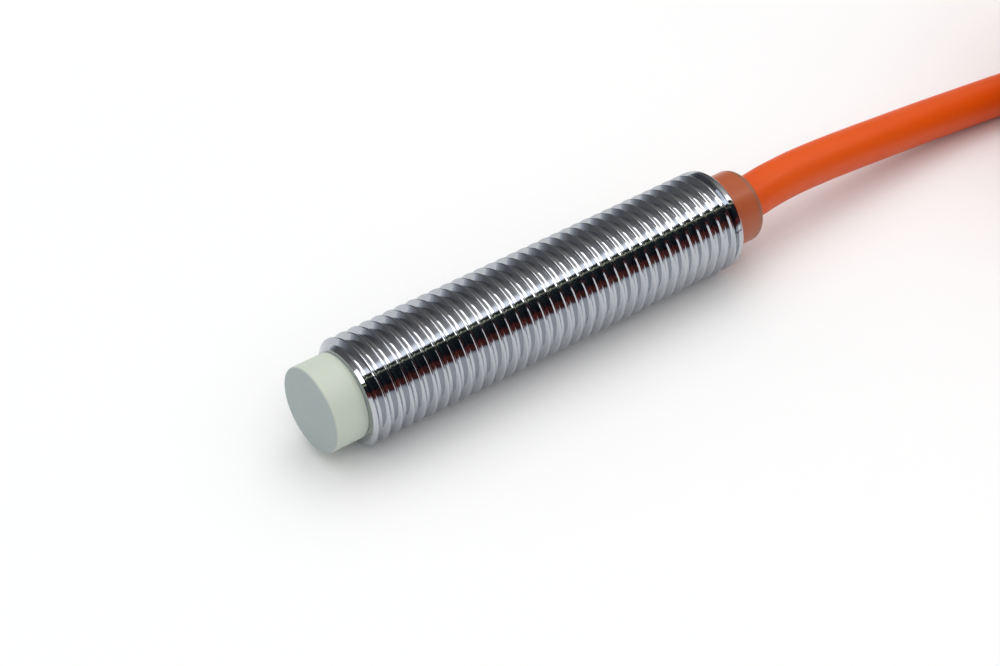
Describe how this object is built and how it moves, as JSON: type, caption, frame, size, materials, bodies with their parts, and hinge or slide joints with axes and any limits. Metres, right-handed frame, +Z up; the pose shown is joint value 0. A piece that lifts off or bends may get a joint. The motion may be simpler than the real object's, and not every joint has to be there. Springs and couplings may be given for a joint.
{
  "type": "inductive proximity sensor",
  "caption": "Cylindrical inductive proximity sensor with a threaded chrome barrel, a pale sensing cap, a translucent end bushing and an orange cable folded into a tied hank.",
  "frame": {"origin": "on the surface that the sensor lies on, under the middle of the sensor's own length, cable left out", "axes": "+Y along the barrel from the sensing face to the cable exit, +Z up, +X across"},
  "size_m": [0.0355, 0.1684, 0.021],
  "materials": {
    "chrome": "bright chrome plating",
    "cap_plastic": "fine satin moulded plastic, pale greenish white",
    "bushing_plastic": "translucent orange plastic, satin",
    "cable_jacket": "smooth satin cable jacket, orange",
    "tie": "black plastic",
    "ferrite": "sintered ferrite, dull",
    "bobbin_plastic": "natural moulded plastic",
    "copper": "enamelled or bare copper",
    "brass": "thin brass",
    "board": "green solder mask over glass fibre",
    "chip_plastic": "black moulding compound",
    "diode_glass": "red-brown glass body",
    "capacitor_ceramic": "fired ceramic",
    "led": "clear moulded lens",
    "core_brown": "insulation, brown",
    "core_black": "insulation, black",
    "core_blue": "insulation, blue",
    "solder": "bright tin",
    "resin": "cast epoxy"
  },
  "bodies": {
    "root": {"threaded_barrel": "chrome", "sensing_cap": "cap_plastic", "end_bushing": "bushing_plastic", "ferrite_core": "ferrite", "coil_bobbin": "bobbin_plastic", "coil_winding": "copper", "coil_lead_1": "copper", "coil_lead_2": "copper", "core_carrier": "bobbin_plastic", "screening_sleeve": "brass", "circuit_board": "board", "wire_pad_1": "copper", "wire_pad_2": "copper", "wire_pad_3": "copper", "oscillator_chip": "chip_plastic", "output_transistor": "chip_plastic", "voltage_regulator": "chip_plastic", "protection_diode_1": "diode_glass", "protection_diode_2": "diode_glass", "chip_resistor_1": "chip_plastic", "chip_resistor_2": "chip_plastic", "chip_resistor_3": "chip_plastic", "chip_resistor_4": "chip_plastic", "chip_capacitor_1": "capacitor_ceramic", "chip_capacitor_2": "capacitor_ceramic", "chip_capacitor_3": "capacitor_ceramic", "status_led_1": "led", "status_led_2": "led", "core_brown": "core_brown", "core_black": "core_black", "core_blue": "core_blue", "wire_end_1": "copper", "wire_end_2": "copper", "wire_end_3": "copper", "solder_joint_1": "solder", "solder_joint_2": "solder", "solder_joint_3": "solder", "potting_resin": "resin", "strain_relief_ring": "brass", "cable_entry": "cable_jacket", "cable_lead": "cable_jacket", "cable_hank": "cable_jacket", "hank_tie": "tie", "cable_tail": "cable_jacket", "pigtail_brown": "core_brown", "pigtail_black": "core_black", "pigtail_blue": "core_blue", "tinned_end_1": "solder", "tinned_end_2": "solder", "tinned_end_3": "solder"}
  },
  "joints": []
}
